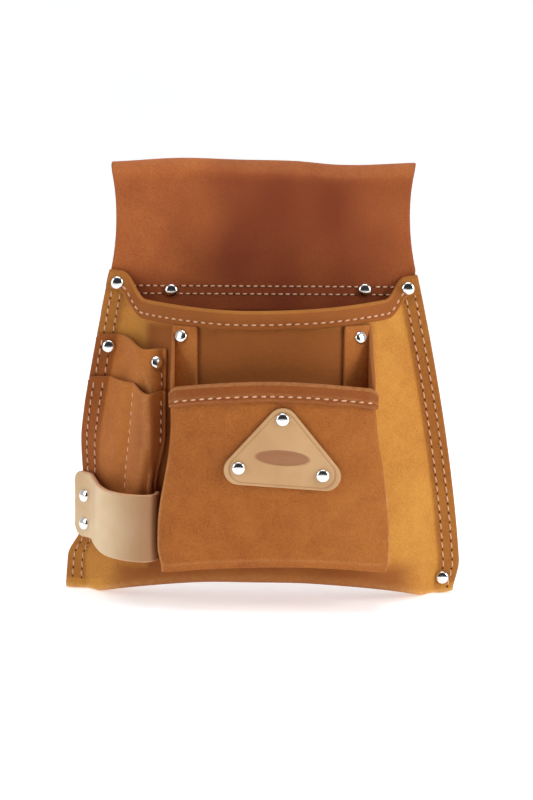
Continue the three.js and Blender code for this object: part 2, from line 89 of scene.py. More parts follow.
# The badge's rounded corners: centres and radius. The CAD has them on the rivets, with a radius of 9.5.
BADGE_ROUNDS = ((17.3, 132.4), (-12, 100.4), (46, 96.8))
BADGE_RADIUS = 10.0

# Where the CAD's own zero lies in the row frame, found from the straight lower thread of the tunnel.
THREAD_HEIGHT = 205.6
THREAD_LIFT = LAYER + 0.95
thread_low, thread_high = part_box("thread_tunnel_lower")
SHIFT_X = (thread_low.x + thread_high.x) / 2 / MM
SHIFT_Y = (thread_low.y + thread_high.y) / 2 / MM - (LEAN * THREAD_HEIGHT - THREAD_LIFT)
SHIFT_Z = (thread_low.z + thread_high.z) / 2 / MM - THREAD_HEIGHT


# ---- small maths ------------------------------------------------------------
def lerp(a, b, t):
    return a + (b - a) * t


def smooth(t):
    t = np.clip(t, 0, 1)
    return t * t * (3 - 2 * t)


def make_ripple(size, seed, waves=9):
    """A smooth, seeded field of gentle waves about one unit high."""
    draw = np.random.default_rng(seed)
    angles = draw.uniform(0, math.tau, waves)
    lengths = size * draw.uniform(0.6, 1.7, waves)
    phases = draw.uniform(0, math.tau, waves)

    def ripple(x, z):
        total = 0
        for angle, length, phase in zip(angles, lengths, phases):
            total = total + np.sin(math.tau * (x * math.cos(angle) + z * math.sin(angle)) / length + phase)
        return total / math.sqrt(waves)

    return ripple


ripple_body = make_ripple(95, 1)
ripple_tunnel = make_ripple(80, 3)
ripple_edge = make_ripple(14, 4)


def spline(points, count, power=0.5):
    """Centripetal Catmull-Rom curve through points, sampled evenly by length."""
    p = np.asarray(points, float)
    p = np.vstack([2 * p[0] - p[1], p, 2 * p[-1] - p[-2]])
    dense = []
    for a, b, c, d in zip(p[:-3], p[1:-2], p[2:-1], p[3:]):
        t0 = 0.0
        t1 = t0 + np.linalg.norm(b - a) ** power
        t2 = t1 + np.linalg.norm(c - b) ** power
        t3 = t2 + np.linalg.norm(d - c) ** power
        t = np.linspace(t1, t2, 14, endpoint=False)[:, None]
        ab = (t1 - t) / (t1 - t0) * a + (t - t0) / (t1 - t0) * b
        bc = (t2 - t) / (t2 - t1) * b + (t - t1) / (t2 - t1) * c
        cd = (t3 - t) / (t3 - t2) * c + (t - t2) / (t3 - t2) * d
        abc = (t2 - t) / (t2 - t0) * ab + (t - t0) / (t2 - t0) * bc
        bcd = (t3 - t) / (t3 - t1) * bc + (t - t1) / (t3 - t1) * cd
        dense.append((t2 - t) / (t2 - t1) * abc + (t - t1) / (t2 - t1) * bcd)
    dense = np.vstack(dense + [p[-2][None]])
    run = np.concatenate([[0], np.cumsum(np.linalg.norm(np.diff(dense, axis=0), axis=1))])
    even = np.linspace(0, run[-1], count)
    return np.stack([np.interp(even, run, dense[:, k]) for k in range(dense.shape[1])], axis=1)


# ---- the body's shape ------------------------------------------------------------
def half_width(z):
    return BASE_HALF_WIDTH - TAPER * (np.maximum(z, 0) / 226) ** TAPER_POWER


SEAM_SHARE = 0.9


def across(u, z):
    inner = half_width(z) - SEAM_WIDTH
    share = np.abs(u) / SEAM_SHARE
    beyond = SEAM_WIDTH * (np.abs(u) - SEAM_SHARE) / (1 - SEAM_SHARE)
    return np.sign(u) * np.where(share <= 1, share * inner, inner + beyond)


def rim_height(u):
    x = np.abs(across(u, 215.0))
    rise = np.where(np.asarray(u) < 0, RIM_RISE_LEFT, RIM_RISE_RIGHT)
    climb = np.where(np.asarray(u) < 0, smooth((x - 78) / 22), smooth((x - 83) / 17))
    return RIM_MID + RIM_SAG * (x / 80) ** 2 + rise * climb


def foot_height(u):
    x = across(u, 0.0)
    arch = ARCH * np.maximum(0, 1 - (np.abs(x) / ARCH_REACH) ** 2.4)
    corner = np.where(x < 0, 0.4, 1.5) * (np.maximum(0, np.abs(x) - 128) / 10) ** 2
    return arch + corner + FLOOR_CLEARANCE


def belly(x, z):
    share = np.clip(np.abs(x) / (half_width(z) - SEAM_WIDTH), 0, 1)
    low = smooth((205 - z) / 60)
    full = BELLY * (1 - share ** lerp(2.2, 3.0, low)) ** lerp(1.1, 1.0, low)
    waves = 1.3 * ripple_body(x, z) * smooth(full / 14)
    return np.sqrt(full**2 + 6) - math.sqrt(6) + waves


def front_outer(x, z):
    return LAYER + LAYER * smooth((z - 190) / 11) + belly(x, z)


def settle(x, z):
    beyond = np.maximum(0, -x - (half_width(z) - CURL_WIDTH))
    bend = np.where(beyond < 6, beyond**2 / 12, beyond - 3)
    return LEAN * z + CURL * bend * smooth((140 - z) / 40) * np.clip(z / CURL_START, 0, 1)


def draw(x, z):
    share = np.maximum(0, np.abs(x) - 90) / 45
    pinch = PINCH * smooth((z - 23) / 17) * smooth((115 - z) / 45)
    tuck = TUCK * smooth((25 - z) / 25)
    return x + np.where(x < 0, pinch, -tuck) * share


def place(x, depth, z):
    x, depth, z = np.broadcast_arrays(x, depth, z)
    return np.stack([draw(x, z) + SHIFT_X, settle(x, z) - depth + SHIFT_Y, z + SHIFT_Z], axis=-1)


def swell(x, left, right):
    return np.sin(math.pi * np.clip((x - left) / (right - left), 0, 1))


def ridge(x, left, peak, right):
    """A bulge that climbs from left to a soft crease at peak, then drops to right."""
    climb = np.clip((x - left) / (peak - left), 0, 1)
    drop = np.clip((right - x) / (right - peak), 0, 1)
    rise = (1 - (1 - climb**2) ** 1.5) * 0.45 + smooth(climb) * 0.55
    return np.where(x < peak, rise, 1 - (1 - drop) ** 1.7)


def pocket_right(z):
    return -64 - 7 * smooth((120 - z) / 40)


def slot_stitch(z):
    return lerp(-94, -86.5, smooth((z - 60) / 95))


def upper_outer(x, z):
    fade = lerp(0.3, 1, smooth((z - 40) / 130))
    peak = -87 + 13 * np.clip((181 - z) / 34, 0, 1)
    share = ridge(x, SEAM_WIDTH - half_width(z), peak, pocket_right(z) - 2)
    return front_outer(x, z) + LAYER + UPPER_SWELL * fade * share


def lower_outer(x, z):
    fade = lerp(0.3, 1, smooth((z - 40) / 100))
    left = swell(x, SEAM_WIDTH - half_width(z), slot_stitch(z))
    right = swell(x, slot_stitch(z), pocket_right(z) - 5)
    return upper_outer(x, z) + LAYER + LOWER_SWELL * fade * (0.55 * left**1.3 + 0.9 * right**1.3)


def upper_top(x):
    return lerp(180.5, 174.6, smooth((x + 95) / 15)) + 0.25 * ripple_edge(x, 0)


def lower_top(x):
    return lerp(151.5, 147, smooth((x + 87) / 15)) + 0.25 * ripple_edge(x, 40)


def face_left(z):
    return -58 - 10.5 * smooth((130 - z) / 75) + 2.5 * smooth((45 - z) / 15)


def face_right(z):
    return 79 + 11 * smooth((150 - z) / 95) - 2 * smooth((38 - z) / 10)


def face_share(x, z):
    return (2 * x - face_left(z) - face_right(z)) / (face_right(z) - face_left(z))


def face_rim(x):
    return FACE_RIM + FACE_RIM_BOW * (1 - np.clip(np.abs(face_share(x, FACE_RIM)), 0, 1) ** 2)


def face_foot(x):
    share = np.clip(face_share(x, FACE_FOOT), -1, 1)
    return FACE_FOOT + share + 5.3 * (1 - share**2)


def face_outer(x, z):
    height = np.clip((z - FACE_FOOT) / (FACE_RIM - FACE_FOOT), 0, 1.3)
    share = np.clip(np.abs(face_share(x, z)), 0, 1)
    bow = 1 - share**4
    slack = 0.7 * ripple_body(x + 300, z) * smooth((1 - share) / 0.3)
    return lerp(59, 62, height) + lerp(4, 8, height) * bow + slack


# ---- mesh building ------------------------------------------------------------
def new_object(name, vertices, faces, materials, smooth_faces=True):
    mesh = bpy.data.meshes.new(name)
    mesh.from_pydata((np.asarray(vertices) * MM).tolist(), [], faces)
    mesh.update()
    for material in materials:
        mesh.materials.append(material)
    if smooth_faces:
        mesh.polygons.foreach_set("use_smooth", [True] * len(mesh.polygons))
    obj = bpy.data.objects.new(name, mesh)
    bpy.context.scene.collection.objects.link(obj)
    return obj


def tidy_normals(obj):
    bm = bmesh.new()
    bm.from_mesh(obj.data)
    bmesh.ops.remove_doubles(bm, verts=bm.verts, dist=1e-7)
    bmesh.ops.recalc_face_normals(bm, faces=bm.faces)
    bm.to_mesh(obj.data)
    bm.free()


def grid_normals(grid):
    along_rows = np.gradient(grid, axis=0)
    along_columns = np.gradient(grid, axis=1)
    normals = np.cross(along_columns, along_rows)
    return normals / np.maximum(np.linalg.norm(normals, axis=2, keepdims=True), 1e-9)


def fold_wear_and_highlight(middle, normals):
    """How strongly each point of a grid sits on an outward fold, which is painted lighter: partly rubbed
    wear, partly a painted highlight where the lamps catch the fold.
    """
    total = 0
    for axis in (0, 1):
        step = np.gradient(middle, axis=axis)
        turn = np.gradient(normals, axis=axis)
        bend = (turn * step).sum(axis=2) / np.maximum((step**2).sum(axis=2), 0.04)
        total = total + np.maximum(bend, 0)
    return smooth((total - 0.05) / 0.3)


def paint(obj, name, values):
    attribute = obj.data.attributes.new(name, "FLOAT", "POINT")
    attribute.data.foreach_set("value", np.asarray(values, np.float32))


def sheet(name, middle, thickness, material, flat_rows=None, shade=None, wear_and_highlight=1.0):
    """A closed sheet of leather around its middle surface, with rounded cut edges.

    flat_rows is 1 for each row whose thickness is measured forwards, so that layers stay parallel.
    shade darkens the leather for each point of the grid: painted shade, and the darker folded hems. The last
    argument sets how much lighter the outward folds are painted: partly rubbed wear, partly a painted
    highlight.
    """
    rows, columns = middle.shape[:2]
    normals = grid_normals(middle)
    foremost = np.unravel_index(np.argmin(middle[..., 1]), (rows, columns))
    if normals[foremost][1] > 0:
        normals = -normals
    # Outward folds get lighter: partly rubbed wear, partly a painted highlight.
    worn_and_lit = wear_and_highlight * fold_wear_and_highlight(middle, normals)
    shade = np.zeros((rows, columns)) if shade is None else np.broadcast_to(shade, (rows, columns))
    share = np.ones((rows, columns, 1))
    if flat_rows is not None:
        weight = np.asarray(flat_rows, float)[:, None, None]
        share = lerp(1.0, np.maximum(np.abs(normals[..., 1:2]), 0.55), weight)
    half = thickness / 2 * share
    outer = middle + normals * half
    inner = middle - normals * half
    # Border ring of the grid, walked once, for the rounded edge.
    ring = [(0, c) for c in range(columns)]
    ring += [(r, columns - 1) for r in range(1, rows)]
    ring += [(rows - 1, c) for c in range(columns - 2, -1, -1)]
    ring += [(r, 0) for r in range(rows - 2, 0, -1)]
    outward = []
    for r, c in ring:
        r_in = min(max(r, 1), rows - 2)
        c_in = min(max(c, 1), columns - 2)
        direction = middle[r, c] - middle[r_in, c_in]
        outward.append(direction / max(np.linalg.norm(direction), 1e-9))
    vertices = [outer.reshape(-1, 3), inner.reshape(-1, 3)]
    per_side = rows * columns
    turns = [0.25, 0.5, 0.75]
    for turn in turns:
        bulge = 0.32 * math.sin(math.pi * turn)
        lift = math.cos(math.pi * turn)
        vertices.append(np.array([
            middle[r, c] + normals[r, c] * half[r, c] * lift + out * thickness * bulge
            for (r, c), out in zip(ring, outward)]))
    vertices = np.vstack(vertices)
    faces = []
    for r in range(rows - 1):
        for c in range(columns - 1):
            a = r * columns + c
            quad = (a, a + 1, a + columns + 1, a + columns)
            faces.append(quad)
            faces.append(tuple(per_side + i for i in reversed(quad)))
    count = len(ring)
    levels = [[r * columns + c for r, c in ring]]
    for k in range(len(turns)):
        start = 2 * per_side + k * count
        levels.append(list(range(start, start + count)))
    levels.append([per_side + r * columns + c for r, c in ring])
    for upper, lower in zip(levels, levels[1:]):
        for i in range(count):
            j = (i + 1) % count
            faces.append((upper[i], lower[i], lower[j], upper[j]))
    obj = new_object(name, vertices, faces, [material])
    edge = np.zeros(len(vertices))
    edge[2 * per_side:] = 1.0
    rim_shade = np.tile([shade[r, c] for r, c in ring], len(turns))
    paint(obj, "cut_edge", edge)
    paint(obj, "shade", np.concatenate([shade.ravel(), shade.ravel(), rim_shade]))
    paint(obj, "worn_and_lit", np.concatenate([worn_and_lit.ravel(), 0 * worn_and_lit.ravel(), 0 * rim_shade]))
    tidy_normals(obj)
    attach(obj, "root")
    return obj


# ---- materials ------------------------------------------------------------
class Nodes:
    """A short hand for building a material's node tree."""

    def __init__(self, name):
        self.material = bpy.data.materials.new(name)
        self.material.use_nodes = True
        self.tree = self.material.node_tree
        self.shader = self.tree.nodes["Principled BSDF"]
        self.coordinates = self.add("ShaderNodeTexCoord").outputs["Object"]

    def add(self, kind, **inputs):
        node = self.tree.nodes.new(kind)
        for key, value in inputs.items():
            node.inputs[key.replace("_", " ")].default_value = value
        return node

    def link(self, source, target):
        self.tree.links.new(source, target)

    def noise(self, scale, detail=4.0, roughness=0.6, distortion=0.0):
        node = self.add("ShaderNodeTexNoise", Scale=scale, Detail=detail, Roughness=roughness,
                        Distortion=distortion)
        self.link(self.coordinates, node.inputs["Vector"])
        return node.outputs["Fac"]

    def ramp(self, source, stops):
        node = self.add("ShaderNodeValToRGB")
        elements = node.color_ramp.elements
        while len(elements) < len(stops):
            elements.new(0.5)
        for element, (position, colour) in zip(elements, stops):
            element.position = position
            element.color = (*colour, 1.0)
        self.link(source, node.inputs["Fac"])
        return node.outputs["Color"]

    def mix(self, factor, a, b, kind="MIX"):
        node = self.add("ShaderNodeMix")
        node.data_type = "RGBA"
        node.blend_type = kind
        for socket, value in ((node.inputs[0], factor), (node.inputs[6], a), (node.inputs[7], b)):
            if isinstance(value, (int, float)):
                socket.default_value = value
            elif isinstance(value, tuple):
                socket.default_value = (*value, 1.0)
            else:
                self.link(value, socket)
        return node.outputs[2]

    def bump(self, height, strength, distance, below=None):
        node = self.add("ShaderNodeBump", Strength=strength, Distance=distance)
        self.link(height, node.inputs["Height"])
        if below is not None:
            self.link(below, node.inputs["Normal"])
        return node.outputs["Normal"]


def srgb(r, g, b):
    """A colour given as 0 to 255 display values, as linear light."""
    return tuple(((v / 255 + 0.055) / 1.055) ** 2.4 if v > 10 else v / 255 / 12.92 for v in (r, g, b))


def amount(n, name):
    node = n.add("ShaderNodeAttribute")
    node.attribute_name = name
    return node.outputs["Fac"]


def suede(name, light, mid, dark, edge, deep):
    """Napped oil-tanned leather: light to dark is its mottling, deep the colour of its painted shade and of
    its darker folded hems.
    """
    n = Nodes(name)
    base = n.ramp(n.noise(11, 3, 0.55, 0.6), [(0.32, dark), (0.5, mid), (0.68, light)])
    mottle = n.noise(70, 6, 0.68, 0.4)
    mottled = n.mix(0.38, base, n.ramp(mottle, [(0.36, dark), (0.62, light)]))
    fibres = n.noise(820, 4, 0.8)
    napped = n.mix(0.42, mottled, n.ramp(fibres, [(0.38, dark), (0.62, light)]))
    shaded = n.mix(amount(n, "shade"), napped, n.mix(0.3, deep, mottled, "MULTIPLY"))
    # Outward folds are mixed towards a lighter orange-gold: partly rubbed wear, partly a painted highlight on
    # the lit folds.
    streaks = n.ramp(n.noise(260, 4, 0.7), [(0.35, (0.25, 0.25, 0.25)), (0.65, (0.9, 0.9, 0.9))])
    rub_and_highlight = n.mix(1.0, streaks, amount(n, "worn_and_lit"), "MULTIPLY")
    worn_and_lit_colour = n.mix(rub_and_highlight, shaded, n.mix(0.35, light, (0.85, 0.6, 0.3)))
    fleck = n.ramp(n.noise(900, 2, 0.6), [(0.3, dark), (0.7, edge)])
    colour = n.mix(amount(n, "cut_edge"), worn_and_lit_colour, n.mix(0.4, edge, fleck))
    n.link(colour, n.shader.inputs["Base Color"])
    rough = n.add("ShaderNodeMapRange")
    rough.inputs["To Min"].default_value = 0.6
    rough.inputs["To Max"].default_value = 0.88
    n.link(mottle, rough.inputs["Value"])
    n.link(rough.outputs["Result"], n.shader.inputs["Roughness"])
    coarse = n.bump(n.noise(300, 6, 0.7), 0.55, 0.0009)
    fine = n.bump(n.noise(1900, 3, 0.7), 0.5, 0.0002, coarse)
    n.link(fine, n.shader.inputs["Normal"])
    n.shader.inputs["Sheen Weight"].default_value = 0.02
    n.shader.inputs["Sheen Roughness"].default_value = 0.5
    n.shader.inputs["Specular IOR Level"].default_value = 0.16
    return n.material


def tanned(name, light, mid, dark, edge, deep):
    """Smooth vegetable-tanned leather."""
    n = Nodes(name)
    base = n.ramp(n.noise(22, 3, 0.5, 0.4), [(0.3, dark), (0.5, mid), (0.7, light)])
    pores = n.noise(1500, 2, 0.5)
    grained = n.mix(0.15, base, n.ramp(pores, [(0.4, dark), (0.6, light)]))
    shaded = n.mix(amount(n, "shade"), grained, deep)
    colour = n.mix(amount(n, "cut_edge"), shaded, edge)
    n.link(colour, n.shader.inputs["Base Color"])
    rough = n.add("ShaderNodeMapRange")
    rough.inputs["To Min"].default_value = 0.4
    rough.inputs["To Max"].default_value = 0.6
    n.link(n.noise(45, 4, 0.6), rough.inputs["Value"])
    n.link(rough.outputs["Result"], n.shader.inputs["Roughness"])
    coarse = n.bump(n.noise(160, 4, 0.5), 0.15, 0.0004)
    fine = n.bump(n.noise(1700, 3, 0.6), 0.2, 0.0001, coarse)
    n.link(fine, n.shader.inputs["Normal"])
    n.shader.inputs["Specular IOR Level"].default_value = 0.4
    return n.material


def nickel_plate():
    n = Nodes("polished_nickel")
    tint = n.ramp(n.noise(300, 3, 0.6), [(0.3, (0.72, 0.71, 0.69)), (0.7, (0.9, 0.9, 0.89))])
    n.link(tint, n.shader.inputs["Base Color"])
    n.shader.inputs["Metallic"].default_value = 1.0
    rough = n.add("ShaderNodeMapRange")
    rough.inputs["To Min"].default_value = 0.06
    rough.inputs["To Max"].default_value = 0.2
    n.link(n.noise(500, 4, 0.7), rough.inputs["Value"])
    n.link(rough.outputs["Result"], n.shader.inputs["Roughness"])
    return n.material


def thread_material():
    n = Nodes("waxed_thread")
    twist = n.noise(2600, 2, 0.6)
    base = n.ramp(twist, [(0.3, srgb(188, 128, 92)), (0.7, srgb(238, 200, 164))])
    n.link(base, n.shader.inputs["Base Color"])
    n.shader.inputs["Roughness"].default_value = 0.65
    n.link(n.bump(twist, 0.5, 0.0002), n.shader.inputs["Normal"])
    return n.material


def hole_material():
    n = Nodes("awl_hole_shadow")
    tint = n.ramp(n.noise(900, 2, 0.6), [(0.3, srgb(60, 28, 14)), (0.7, srgb(104, 56, 30))])
    n.link(tint, n.shader.inputs["Base Color"])
    n.shader.inputs["Roughness"].default_value = 0.95
    return n.material


BROWN = srgb(136, 70, 34)
SUEDE = suede("golden_suede", srgb(216, 158, 72), srgb(201, 138, 60), srgb(178, 110, 44), srgb(150, 92, 46),
              srgb(146, 80, 38))
POCKET_SUEDE = suede("pocket_suede", srgb(188, 118, 54), srgb(170, 99, 43), srgb(144, 76, 31),
                     srgb(158, 98, 52), BROWN)
TUNNEL_SUEDE = suede("tunnel_suede", srgb(190, 112, 58), srgb(172, 95, 48), srgb(150, 76, 38),
                     srgb(134, 78, 44), srgb(138, 68, 38))
# The back panel's suede, coloured darker as painted shade inside the pouch.
SHADED_INNER_SUEDE = suede("shaded_inner_suede", srgb(150, 88, 52), srgb(130, 72, 42), srgb(104, 54, 32),
                    srgb(120, 70, 44), srgb(84, 42, 26))
STRAP_TAN = tanned("strap_tan", srgb(222, 196, 158), srgb(212, 182, 142), srgb(196, 162, 120),
                   srgb(204, 152, 112), srgb(150, 98, 58))
BADGE_TAN = tanned("badge_tan", srgb(212, 172, 126), srgb(200, 158, 110), srgb(184, 140, 94),
                   srgb(162, 104, 66), srgb(146, 88, 54))
NICKEL = nickel_plate()
THREAD = thread_material()
HOLE = hole_material()


# ---- leather pieces ------------------------------------------------------------
def dense_columns(count):
    """Columns from -1 to 1, closer together at the side seams."""
    t = np.linspace(-1, 1, count)
    return np.sign(t) * (1 - (1 - np.abs(t)) ** 1.35)


def bottom_fold(u):
    ground = foot_height(u)
    front = front_outer(across(u, ground + 20), ground + 20)
    rear = LEATHER + LAYER
    half_depth = (front + rear) / 2
    return ground, half_depth, (front - rear) / 2, 4 + 0.55 * half_depth


def seam_shade(x, z):
    """Painted shade along both side seams, where the leather curves away from the light."""
    return 0.5 * smooth((np.abs(x) - half_width(z) + 16) / 4)


def hem_puff(t):
    """How far a folded hem swells, from its lower edge to its fold, with a groove along its stitches."""
    return 0.9 * math.sin(math.pi * t) ** 0.8 - 0.5 * math.exp(-((t - 0.26) / 0.09) ** 2)


def front_panel():
    u = dense_columns(191)
    rows = []
    flat = []
    shade = []
    rim = rim_height(u)
    ragged = 0.35 * ripple_edge(across(u, 195.0), 90)

    def wall_row(z, offset, weight=1.0, dark=None):
        x = across(u, z)
        rows.append(place(x, front_outer(x, z) + offset, z))
        flat.append(weight)
        if dark is None:
            # Painted shade: darker behind the front pocket, under the rim hem and between its flanges; darker
            # low down under the pocket; a little darker on the left side, which gets less light; darker along
            # the seams.
            shade_behind_pocket = smooth((x + 84) / 10) * smooth((80 - x) / 10) * smooth((196 - z) / 8)
            low = smooth((34 - z) / 14) * smooth((115 - np.abs(x)) / 25)
            dark = np.maximum(0.85 * shade_behind_pocket, 0.8 * low)
            dark = np.maximum(dark, 0.25 * smooth((-60 - x) / 20))
            dark = np.maximum(dark, seam_shade(x, z))
        shade.append(dark + 0 * x)

    fold_radius = LAYER / 2
    fold_centre = rim - fold_radius - LEATHER / 2
    for t in np.linspace(0, 1, 12):
        z = lerp(rim - HEM + ragged, fold_centre, t)
        paler_ends = 0.3 * smooth((np.abs(across(u, 215.0)) - 88) / 12)
        wall_row(z, GAP + LEATHER / 2 + hem_puff(t), 1 - t**6, 0.85 - paler_ends)
    for turn in np.linspace(0.1, 0.9, 8):
        wall_row(fold_centre + fold_radius * math.sin(math.pi * turn),
                 GAP / 2 + fold_radius * math.cos(math.pi * turn), 0.0, 0.6)
    ground, half_depth, middle, height = bottom_fold(u)
    for t in np.linspace(0, 1, 120)[:-1]:
        wall_row(lerp(fold_centre, ground + height, t), -LEATHER / 2, min(1, t * 12) * (t < 0.97))
    # Painted shade: the bottom fold turning under the pouch is darkened in its middle, and the rows rising
    # behind it on its inner side are darkened too.
    for turn in np.linspace(0, 1, 30):
        angle = math.pi * turn
        forwards = math.copysign(abs(math.cos(angle)) ** 0.6, math.cos(angle))
        down = abs(math.sin(angle)) ** 0.6
        z = ground + height - (height - LEATHER / 2) * down
        rows.append(place(across(u, z), middle + (half_depth - LEATHER / 2) * forwards, z))
        flat.append(0.0)
        shade.append(0.8 * smooth((115 - np.abs(across(u, z))) / 25))
    for rise in np.linspace(1.5, 14, 8):
        z = ground + height + rise
        rows.append(place(across(u, z), -LAYER - LEATHER / 2, z))
        flat.append(0.0)
        shade.append(0.5 + 0 * u)
    obj = sheet("front_panel_leather", np.array(rows), LEATHER, SUEDE, flat, np.array(shade))
    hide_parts("front_panel")
    return obj


def back_panel():
    u = dense_columns(101)
    ground, _, _, height = bottom_fold(u)
    rows = []
    for t in np.linspace(0, 1, 90):
        z = lerp(BODY_TOP, ground + height + 0.5, t)
        rows.append(place(across(u, z), -LEATHER / 2, z))
    obj = sheet("back_panel_leather", np.array(rows), LEATHER, SHADED_INNER_SUEDE, [1.0] * len(rows))
    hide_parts("back_panel")
    return obj


def tunnel_half_width(z):
    return np.minimum(104.5, 100.2 + 4 * ((z - 265) / 37) ** 2)


LEAF_END = 198.0
TUNNEL_CROWN = 292.0


def belt_tunnel():
    u = np.linspace(-1, 1, 141)
    inset = LEATHER / 2
    rows = []
    shade = []

    def leaf_row(depth, z, loose=0.8):
        x = u * tunnel_half_width(z)
        sag = 1.5 * ripple_tunnel(x, z) * loose
        lift = smooth((z - 270) / 30)
        crest = 1.5 * np.sin((x + 95) / 34) - 0.9 * smooth((x - 20) / 30) + 0.4 * np.sin(x / 13)
        rows.append(place(x, depth + sag, z + (crest - 1.4) * lift))
        # Painted shade and light: the leaf is darkened in its middle, less on its right and not on its left,
        # darkened low down near the opening, and painted lighter along its top fold; cloud adds random tone.
        middle = smooth((x + 85) / 75) * (1 - 0.55 * smooth((x - 45) / 50))
        low = 0.75 * smooth((236 - z) / 26)
        cloud = 0.12 * ripple_body(x * 1.7, z * 1.7)
        shade.append(np.clip(np.maximum(0.9 * middle, low) + cloud - 0.5 * smooth((z - 286) / 12), 0, 1))

    def front_depth(z):
        return LAYER - inset + 7 * smooth((z - 212) / 75)

    def rear_depth(z):
        return -LAYER - LEATHER + inset - 4 * smooth((z - TUNNEL_OPEN) / 30)

    for z in np.linspace(LEAF_END, TUNNEL_CROWN, 70):
        leaf_row(front_depth(z), np.maximum(z, LEAF_END + 5 * smooth((np.abs(u) - 0.75) / 0.1)),
                 0.8 * smooth((z - 222) / 25))
    high_front, high_rear = front_depth(TUNNEL_CROWN), rear_depth(TUNNEL_CROWN)
    half = (high_front - high_rear) / 2
    for turn in np.linspace(0, math.pi, 19)[1:-1]:
        leaf_row((high_front + high_rear) / 2 + half * math.cos(turn),
                 TUNNEL_CROWN + (TUNNEL_TOP - TUNNEL_CROWN - inset) * math.sin(turn))
    for z in np.linspace(TUNNEL_CROWN, TUNNEL_END, 60):
        leaf_row(rear_depth(z), z, 0.8 * smooth((z - 226) / 20))
    obj = sheet("belt_tunnel_leather", np.array(rows), LEATHER, TUNNEL_SUEDE, shade=np.array(shade))
    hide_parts("belt_tunnel")
    return obj


def tool_pocket(name, node, outer_depth, top_edge, material):
    t = np.linspace(0, 1, 90)
    start = -half_width(150.0)
    high = top_edge(lerp(start, -64, t))
    # The left end of the top edge tucks into the side seam with a small rounded corner.
    corner = 2.5 * (1 - np.clip(t * 100 / 4, 0, 1)) ** 2
    rows = []
    shade = []
    for v in np.linspace(0, 1, 100):
        z = lerp(high - corner, POCKET_FOOT, v)
        x = lerp(-half_width(z), pocket_right(z), t)
        rows.append(place(x, outer_depth(x, z) - LEATHER / 2, z))
        # Painted shade: each pocket is darker towards its right end, beside the front pocket, and along the
        # side seam.
        shade.append(np.maximum(seam_shade(x, z), 0.45 * smooth((x + 90) / 14) * smooth((165 - z) / 50)))
    obj = sheet(name, np.array(rows), LEATHER, material, [1.0] * len(rows), np.array(shade), wear_and_highlight=0.35)
    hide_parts(node)
    return obj


def tool_strap():
    route = spline([(-139, 10.2), (-129.5, 10.2), (-124, 11.8), (-119.5, 21), (-111.8, 35), (-101.5, 46),
                    (-91, 53), (-81, 56.4), (-74.5, 56.4), (-70.6, 53), (-69.3, 48.5), (-69.1, 43.6)], 120)
    x, depth = route[:, 0], route[:, 1]
    run = np.concatenate([[0], np.cumsum(np.hypot(np.diff(x), np.diff(depth)))])
    corner = 7 * (1 - np.sqrt(1 - np.clip(1 - run / 7, 0, 1) ** 2))
    high = lerp(82.5, 79, smooth((x + 128) / 24)) - corner
    low = lerp(38.5, 34.9, smooth((x + 126) / 22)) + corner
    rows = [place(x, depth, lerp(high, low, v)) for v in np.linspace(0, 1, 40)]
    # Painted shade: the strap darkens from its lit left end towards its right end, where it turns away from
    # the light beside the front pocket.
    strap_painted_shade = 0.95 * smooth((x + 118) / 55) ** 1.3
    obj = sheet("tool_strap_leather", np.array(rows), STRAP_LEATHER, STRAP_TAN, shade=strap_painted_shade)
    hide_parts("tool_strap")
    return obj


def pocket_route(z):
    """The front pocket's outline seen from above: x, depth and its share from panel to face."""

    def half(crease, corner, sign):
        level = min(z, 192)

        def panel(x):
            return float(front_outer(x, level)) + 2.5 * GAP

        base = panel(crease)
        front = float(face_outer(corner, z))
        return [
            (crease + sign * FLANGE_WIDTH, panel(crease + sign * FLANGE_WIDTH), 0),
            (crease + sign * 11, panel(crease + sign * 11), 0),
            (crease + sign * 4, panel(crease + sign * 4), 0),
            (crease + sign * 1.2, base + 0.6, 0),
            (lerp(crease, corner, 0.12), base + 2.8, 0.12),
            (lerp(crease, corner, 0.5), lerp(base, front, 0.5), 0.5),
            (lerp(crease, corner, 0.85), front - 3.2, 0.85),
            (corner + sign * 1, front - 0.9, 0.97),
            (corner + sign * 4, front + 0.6, 1),
        ]

    left = half(CREASE_LEFT, float(face_left(z)), 1)
    right = half(CREASE_RIGHT, float(face_right(z)), -1)
    face = []
    for t in (0.1, 0.17, 0.24, 0.31, 0.38, 0.45, 0.52, 0.59, 0.66, 0.73, 0.8, 0.87, 0.92):
        x = float(lerp(face_left(z), face_right(z), t))
        face.append((x, float(face_outer(x, z)), 1))
    return np.array(left + face + right[::-1])


